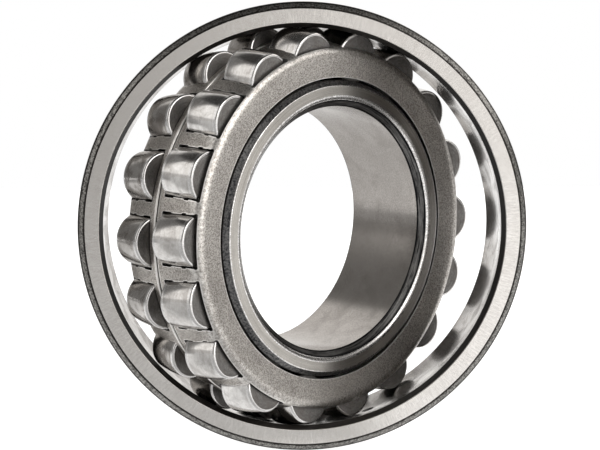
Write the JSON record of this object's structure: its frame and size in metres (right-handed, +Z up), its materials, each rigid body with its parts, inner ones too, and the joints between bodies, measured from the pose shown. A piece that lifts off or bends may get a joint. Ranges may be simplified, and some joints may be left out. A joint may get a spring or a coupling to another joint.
{
  "type": "spherical roller bearing",
  "caption": "Double-row spherical roller bearing with its inner ring, cages and barrel rollers swivelled out of the spherical outer raceway.",
  "frame": {"origin": "centre of the bearing, where the outer ring's axis, the inner ring's axis and the swivel axis meet", "axes": "+Z up, Y along the outer ring's axis with its front face towards -Y, +X to the right seen from the front; the inner ring's front face is turned towards +X"},
  "size_m": [0.1, 0.0735, 0.1],
  "materials": {
    "outer_ring_steel": "ground bearing steel, polished raceway",
    "inner_ring_steel": "turned and ground bearing steel, oxidised corner, satin bore",
    "roller_steel": "superfinished bearing steel, matt ends",
    "cage_steel": "pressed sheet steel, shot-blasted and oiled",
    "guide_ring_steel": "plain turned steel"
  },
  "bodies": {
    "outer_ring": {"outer_ring": "outer_ring_steel"},
    "guide_ring": {"guide_ring": "guide_ring_steel"},
    "inner_ring": {"inner_ring": "inner_ring_steel"},
    "front_cage": {"front_cage": "cage_steel"},
    "rear_cage": {"rear_cage": "cage_steel"},
    "front_roller_01": {"front_roller_01": "roller_steel"},
    "front_roller_02": {"front_roller_02": "roller_steel"},
    "front_roller_03": {"front_roller_03": "roller_steel"},
    "front_roller_04": {"front_roller_04": "roller_steel"},
    "front_roller_05": {"front_roller_05": "roller_steel"},
    "front_roller_06": {"front_roller_06": "roller_steel"},
    "front_roller_07": {"front_roller_07": "roller_steel"},
    "front_roller_08": {"front_roller_08": "roller_steel"},
    "front_roller_09": {"front_roller_09": "roller_steel"},
    "front_roller_10": {"front_roller_10": "roller_steel"},
    "front_roller_11": {"front_roller_11": "roller_steel"},
    "front_roller_12": {"front_roller_12": "roller_steel"},
    "front_roller_13": {"front_roller_13": "roller_steel"},
    "front_roller_14": {"front_roller_14": "roller_steel"},
    "front_roller_15": {"front_roller_15": "roller_steel"},
    "front_roller_16": {"front_roller_16": "roller_steel"},
    "front_roller_17": {"front_roller_17": "roller_steel"},
    "front_roller_18": {"front_roller_18": "roller_steel"},
    "rear_roller_01": {"rear_roller_01": "roller_steel"},
    "rear_roller_02": {"rear_roller_02": "roller_steel"},
    "rear_roller_03": {"rear_roller_03": "roller_steel"},
    "rear_roller_04": {"rear_roller_04": "roller_steel"},
    "rear_roller_05": {"rear_roller_05": "roller_steel"},
    "rear_roller_06": {"rear_roller_06": "roller_steel"},
    "rear_roller_07": {"rear_roller_07": "roller_steel"},
    "rear_roller_08": {"rear_roller_08": "roller_steel"},
    "rear_roller_09": {"rear_roller_09": "roller_steel"},
    "rear_roller_10": {"rear_roller_10": "roller_steel"},
    "rear_roller_11": {"rear_roller_11": "roller_steel"},
    "rear_roller_12": {"rear_roller_12": "roller_steel"},
    "rear_roller_13": {"rear_roller_13": "roller_steel"},
    "rear_roller_14": {"rear_roller_14": "roller_steel"},
    "rear_roller_15": {"rear_roller_15": "roller_steel"},
    "rear_roller_16": {"rear_roller_16": "roller_steel"},
    "rear_roller_17": {"rear_roller_17": "roller_steel"},
    "rear_roller_18": {"rear_roller_18": "roller_steel"}
  },
  "joints": [
    {"name": "inner_swivel", "type": "hinge", "parent": "outer_ring", "child": "guide_ring", "pos_m": [0, 0, 0], "axis": [0.0698, 0, 0.9976], "range_deg": [-130, 50]},
    {"name": "inner_ring_spin", "type": "hinge", "parent": "guide_ring", "child": "inner_ring", "pos_m": [0, 0, 0], "axis": [0.6412, -0.766, -0.0448], "continuous": true},
    {"name": "front_cage_spin", "type": "hinge", "parent": "guide_ring", "child": "front_cage", "pos_m": [0, 0, 0], "axis": [0.6412, -0.766, -0.0448], "continuous": true},
    {"name": "rear_cage_spin", "type": "hinge", "parent": "guide_ring", "child": "rear_cage", "pos_m": [0, 0, 0], "axis": [0.6412, -0.766, -0.0448], "continuous": true},
    {"name": "front_roller_01_spin", "type": "hinge", "parent": "front_cage", "child": "front_roller_01", "pos_m": [-0.02417, -0.02895, 0.01225], "axis": [0.7444, -0.6611, -0.0937], "continuous": true},
    {"name": "front_roller_02_spin", "type": "hinge", "parent": "front_cage", "child": "front_roller_02", "pos_m": [-0.02613, -0.0298, -0.00119], "axis": [0.7521, -0.6578, -0.0407], "continuous": true},
    {"name": "front_roller_03_spin", "type": "hinge", "parent": "front_cage", "child": "front_roller_03", "pos_m": [-0.02446, -0.02763, -0.01451], "axis": [0.7455, -0.6664, 0.0119], "continuous": true},
    {"name": "front_roller_04_spin", "type": "hinge", "parent": "front_cage", "child": "front_roller_04", "pos_m": [-0.01937, -0.02269, -0.02612], "axis": [0.7255, -0.6858, 0.0577], "continuous": true},
    {"name": "front_roller_05_spin", "type": "hinge", "parent": "front_cage", "child": "front_roller_05", "pos_m": [-0.01147, -0.01558, -0.03461], "axis": [0.6943, -0.7139, 0.0912], "continuous": true},
    {"name": "front_roller_06_spin", "type": "hinge", "parent": "front_cage", "child": "front_roller_06", "pos_m": [-0.00171, -0.00715, -0.03896], "axis": [0.6558, -0.7471, 0.1084], "continuous": true},
    {"name": "front_roller_07_spin", "type": "hinge", "parent": "front_cage", "child": "front_roller_07", "pos_m": [0.00873, 0.00157, -0.03865], "axis": [0.6146, -0.7815, 0.1071], "continuous": true},
    {"name": "front_roller_08_spin", "type": "hinge", "parent": "front_cage", "child": "front_roller_08", "pos_m": [0.01859, 0.00953, -0.0337], "axis": [0.5757, -0.813, 0.0876], "continuous": true},
    {"name": "front_roller_09_spin", "type": "hinge", "parent": "front_cage", "child": "front_roller_09", "pos_m": [0.02668, 0.01578, -0.02473], "axis": [0.5437, -0.8376, 0.0522], "continuous": true},
    {"name": "front_roller_10_spin", "type": "hinge", "parent": "front_cage", "child": "front_roller_10", "pos_m": [0.03203, 0.01956, -0.0128], "axis": [0.5226, -0.8525, 0.0051], "continuous": true},
    {"name": "front_roller_11_spin", "type": "hinge", "parent": "front_cage", "child": "front_roller_11", "pos_m": [0.03399, 0.02041, 0.00064], "axis": [0.5149, -0.8559, -0.0479], "continuous": true},
    {"name": "front_roller_12_spin", "type": "hinge", "parent": "front_cage", "child": "front_roller_12", "pos_m": [0.03232, 0.01824, 0.01396], "axis": [0.5215, -0.8473, -0.1005], "continuous": true},
    {"name": "front_roller_13_spin", "type": "hinge", "parent": "front_cage", "child": "front_roller_13", "pos_m": [0.02723, 0.0133, 0.02557], "axis": [0.5416, -0.8278, -0.1463], "continuous": true},
    {"name": "front_roller_14_spin", "type": "hinge", "parent": "front_cage", "child": "front_roller_14", "pos_m": [0.01933, 0.00618, 0.03406], "axis": [0.5728, -0.7998, -0.1798], "continuous": true},
    {"name": "front_roller_15_spin", "type": "hinge", "parent": "front_cage", "child": "front_roller_15", "pos_m": [0.00957, -0.00224, 0.03841], "axis": [0.6113, -0.7665, -0.197], "continuous": true},
    {"name": "front_roller_16_spin", "type": "hinge", "parent": "front_cage", "child": "front_roller_16", "pos_m": [-0.00087, -0.01096, 0.0381], "axis": [0.6524, -0.7321, -0.1957], "continuous": true},
    {"name": "front_roller_17_spin", "type": "hinge", "parent": "front_cage", "child": "front_roller_17", "pos_m": [-0.01073, -0.01892, 0.03315], "axis": [0.6914, -0.7007, -0.1762], "continuous": true},
    {"name": "front_roller_18_spin", "type": "hinge", "parent": "front_cage", "child": "front_roller_18", "pos_m": [-0.01882, -0.02517, 0.02418], "axis": [0.7233, -0.676, -0.1408], "continuous": true},
    {"name": "rear_roller_01_spin", "type": "hinge", "parent": "rear_cage", "child": "rear_roller_01", "pos_m": [-0.03238, -0.01978, 0.0115], "axis": [0.5212, -0.8534, 0], "continuous": true},
    {"name": "rear_roller_02_spin", "type": "hinge", "parent": "rear_cage", "child": "rear_roller_02", "pos_m": [-0.03398, -0.02033, -0.002], "axis": [0.5149, -0.8556, -0.0533], "continuous": true},
    {"name": "rear_roller_03_spin", "type": "hinge", "parent": "rear_cage", "child": "rear_roller_03", "pos_m": [-0.03196, -0.01786, -0.01523], "axis": [0.5229, -0.8458, -0.1055], "continuous": true},
    {"name": "rear_roller_04_spin", "type": "hinge", "parent": "rear_cage", "child": "rear_roller_04", "pos_m": [-0.02655, -0.01267, -0.02658], "axis": [0.5442, -0.8254, -0.1503], "continuous": true},
    {"name": "rear_roller_05_spin", "type": "hinge", "parent": "rear_cage", "child": "rear_roller_05", "pos_m": [-0.01842, -0.00539, -0.0347], "axis": [0.5763, -0.7966, -0.1823], "continuous": true},
    {"name": "rear_roller_06_spin", "type": "hinge", "parent": "rear_cage", "child": "rear_roller_06", "pos_m": [-0.00854, 0.00311, -0.03859], "axis": [0.6153, -0.7631, -0.1977], "continuous": true},
    {"name": "rear_roller_07_spin", "type": "hinge", "parent": "rear_cage", "child": "rear_roller_07", "pos_m": [0.0019, 0.0118, -0.0378], "axis": [0.6565, -0.7288, -0.1946], "continuous": true},
    {"name": "rear_roller_08_spin", "type": "hinge", "parent": "rear_cage", "child": "rear_roller_08", "pos_m": [0.01163, 0.01964, -0.03242], "axis": [0.6949, -0.6979, -0.1733], "continuous": true},
    {"name": "rear_roller_09_spin", "type": "hinge", "parent": "rear_cage", "child": "rear_roller_09", "pos_m": [0.01949, 0.02567, -0.02309], "axis": [0.7259, -0.6741, -0.1365], "continuous": true},
    {"name": "rear_roller_10_spin", "type": "hinge", "parent": "rear_cage", "child": "rear_roller_10", "pos_m": [0.02452, 0.02917, -0.01095], "axis": [0.7458, -0.6603, -0.0886], "continuous": true},
    {"name": "rear_roller_11_spin", "type": "hinge", "parent": "rear_cage", "child": "rear_roller_11", "pos_m": [0.02612, 0.02972, 0.00255], "axis": [0.7521, -0.6581, -0.0353], "continuous": true},
    {"name": "rear_roller_12_spin", "type": "hinge", "parent": "rear_cage", "child": "rear_roller_12", "pos_m": [0.0241, 0.02725, 0.01578], "axis": [0.7441, -0.6678, 0.0169], "continuous": true},
    {"name": "rear_roller_13_spin", "type": "hinge", "parent": "rear_cage", "child": "rear_roller_13", "pos_m": [0.01869, 0.02206, 0.02713], "axis": [0.7228, -0.6883, 0.0617], "continuous": true},
    {"name": "rear_roller_14_spin", "type": "hinge", "parent": "rear_cage", "child": "rear_roller_14", "pos_m": [0.01056, 0.01478, 0.03525], "axis": [0.6907, -0.7171, 0.0937], "continuous": true},
    {"name": "rear_roller_15_spin", "type": "hinge", "parent": "rear_cage", "child": "rear_roller_15", "pos_m": [0.00068, 0.00628, 0.03914], "axis": [0.6517, -0.7506, 0.1091], "continuous": true},
    {"name": "rear_roller_16_spin", "type": "hinge", "parent": "rear_cage", "child": "rear_roller_16", "pos_m": [-0.00976, -0.00241, 0.03835], "axis": [0.6105, -0.7849, 0.106], "continuous": true},
    {"name": "rear_roller_17_spin", "type": "hinge", "parent": "rear_cage", "child": "rear_roller_17", "pos_m": [-0.01949, -0.01025, 0.03297], "axis": [0.5721, -0.8158, 0.0847], "continuous": true},
    {"name": "rear_roller_18_spin", "type": "hinge", "parent": "rear_cage", "child": "rear_roller_18", "pos_m": [-0.02735, -0.01628, 0.02364], "axis": [0.5411, -0.8396, 0.0479], "continuous": true}
  ],
  "couplings": [
    {"joint": "front_cage_spin", "follows": "inner_ring_spin", "ratio": 0.4256},
    {"joint": "rear_cage_spin", "follows": "inner_ring_spin", "ratio": 0.4256},
    {"joint": "front_roller_01_spin", "follows": "inner_ring_spin", "ratio": -3.2463},
    {"joint": "front_roller_02_spin", "follows": "inner_ring_spin", "ratio": -3.2463},
    {"joint": "front_roller_03_spin", "follows": "inner_ring_spin", "ratio": -3.2463},
    {"joint": "front_roller_04_spin", "follows": "inner_ring_spin", "ratio": -3.2463},
    {"joint": "front_roller_05_spin", "follows": "inner_ring_spin", "ratio": -3.2463},
    {"joint": "front_roller_06_spin", "follows": "inner_ring_spin", "ratio": -3.2463},
    {"joint": "front_roller_07_spin", "follows": "inner_ring_spin", "ratio": -3.2463},
    {"joint": "front_roller_08_spin", "follows": "inner_ring_spin", "ratio": -3.2463},
    {"joint": "front_roller_09_spin", "follows": "inner_ring_spin", "ratio": -3.2463},
    {"joint": "front_roller_10_spin", "follows": "inner_ring_spin", "ratio": -3.2463},
    {"joint": "front_roller_11_spin", "follows": "inner_ring_spin", "ratio": -3.2463},
    {"joint": "front_roller_12_spin", "follows": "inner_ring_spin", "ratio": -3.2463},
    {"joint": "front_roller_13_spin", "follows": "inner_ring_spin", "ratio": -3.2463},
    {"joint": "front_roller_14_spin", "follows": "inner_ring_spin", "ratio": -3.2463},
    {"joint": "front_roller_15_spin", "follows": "inner_ring_spin", "ratio": -3.2463},
    {"joint": "front_roller_16_spin", "follows": "inner_ring_spin", "ratio": -3.2463},
    {"joint": "front_roller_17_spin", "follows": "inner_ring_spin", "ratio": -3.2463},
    {"joint": "front_roller_18_spin", "follows": "inner_ring_spin", "ratio": -3.2463},
    {"joint": "rear_roller_01_spin", "follows": "inner_ring_spin", "ratio": -3.2463},
    {"joint": "rear_roller_02_spin", "follows": "inner_ring_spin", "ratio": -3.2463},
    {"joint": "rear_roller_03_spin", "follows": "inner_ring_spin", "ratio": -3.2463},
    {"joint": "rear_roller_04_spin", "follows": "inner_ring_spin", "ratio": -3.2463},
    {"joint": "rear_roller_05_spin", "follows": "inner_ring_spin", "ratio": -3.2463},
    {"joint": "rear_roller_06_spin", "follows": "inner_ring_spin", "ratio": -3.2463},
    {"joint": "rear_roller_07_spin", "follows": "inner_ring_spin", "ratio": -3.2463},
    {"joint": "rear_roller_08_spin", "follows": "inner_ring_spin", "ratio": -3.2463},
    {"joint": "rear_roller_09_spin", "follows": "inner_ring_spin", "ratio": -3.2463},
    {"joint": "rear_roller_10_spin", "follows": "inner_ring_spin", "ratio": -3.2463},
    {"joint": "rear_roller_11_spin", "follows": "inner_ring_spin", "ratio": -3.2463},
    {"joint": "rear_roller_12_spin", "follows": "inner_ring_spin", "ratio": -3.2463},
    {"joint": "rear_roller_13_spin", "follows": "inner_ring_spin", "ratio": -3.2463},
    {"joint": "rear_roller_14_spin", "follows": "inner_ring_spin", "ratio": -3.2463},
    {"joint": "rear_roller_15_spin", "follows": "inner_ring_spin", "ratio": -3.2463},
    {"joint": "rear_roller_16_spin", "follows": "inner_ring_spin", "ratio": -3.2463},
    {"joint": "rear_roller_17_spin", "follows": "inner_ring_spin", "ratio": -3.2463},
    {"joint": "rear_roller_18_spin", "follows": "inner_ring_spin", "ratio": -3.2463}
  ]
}
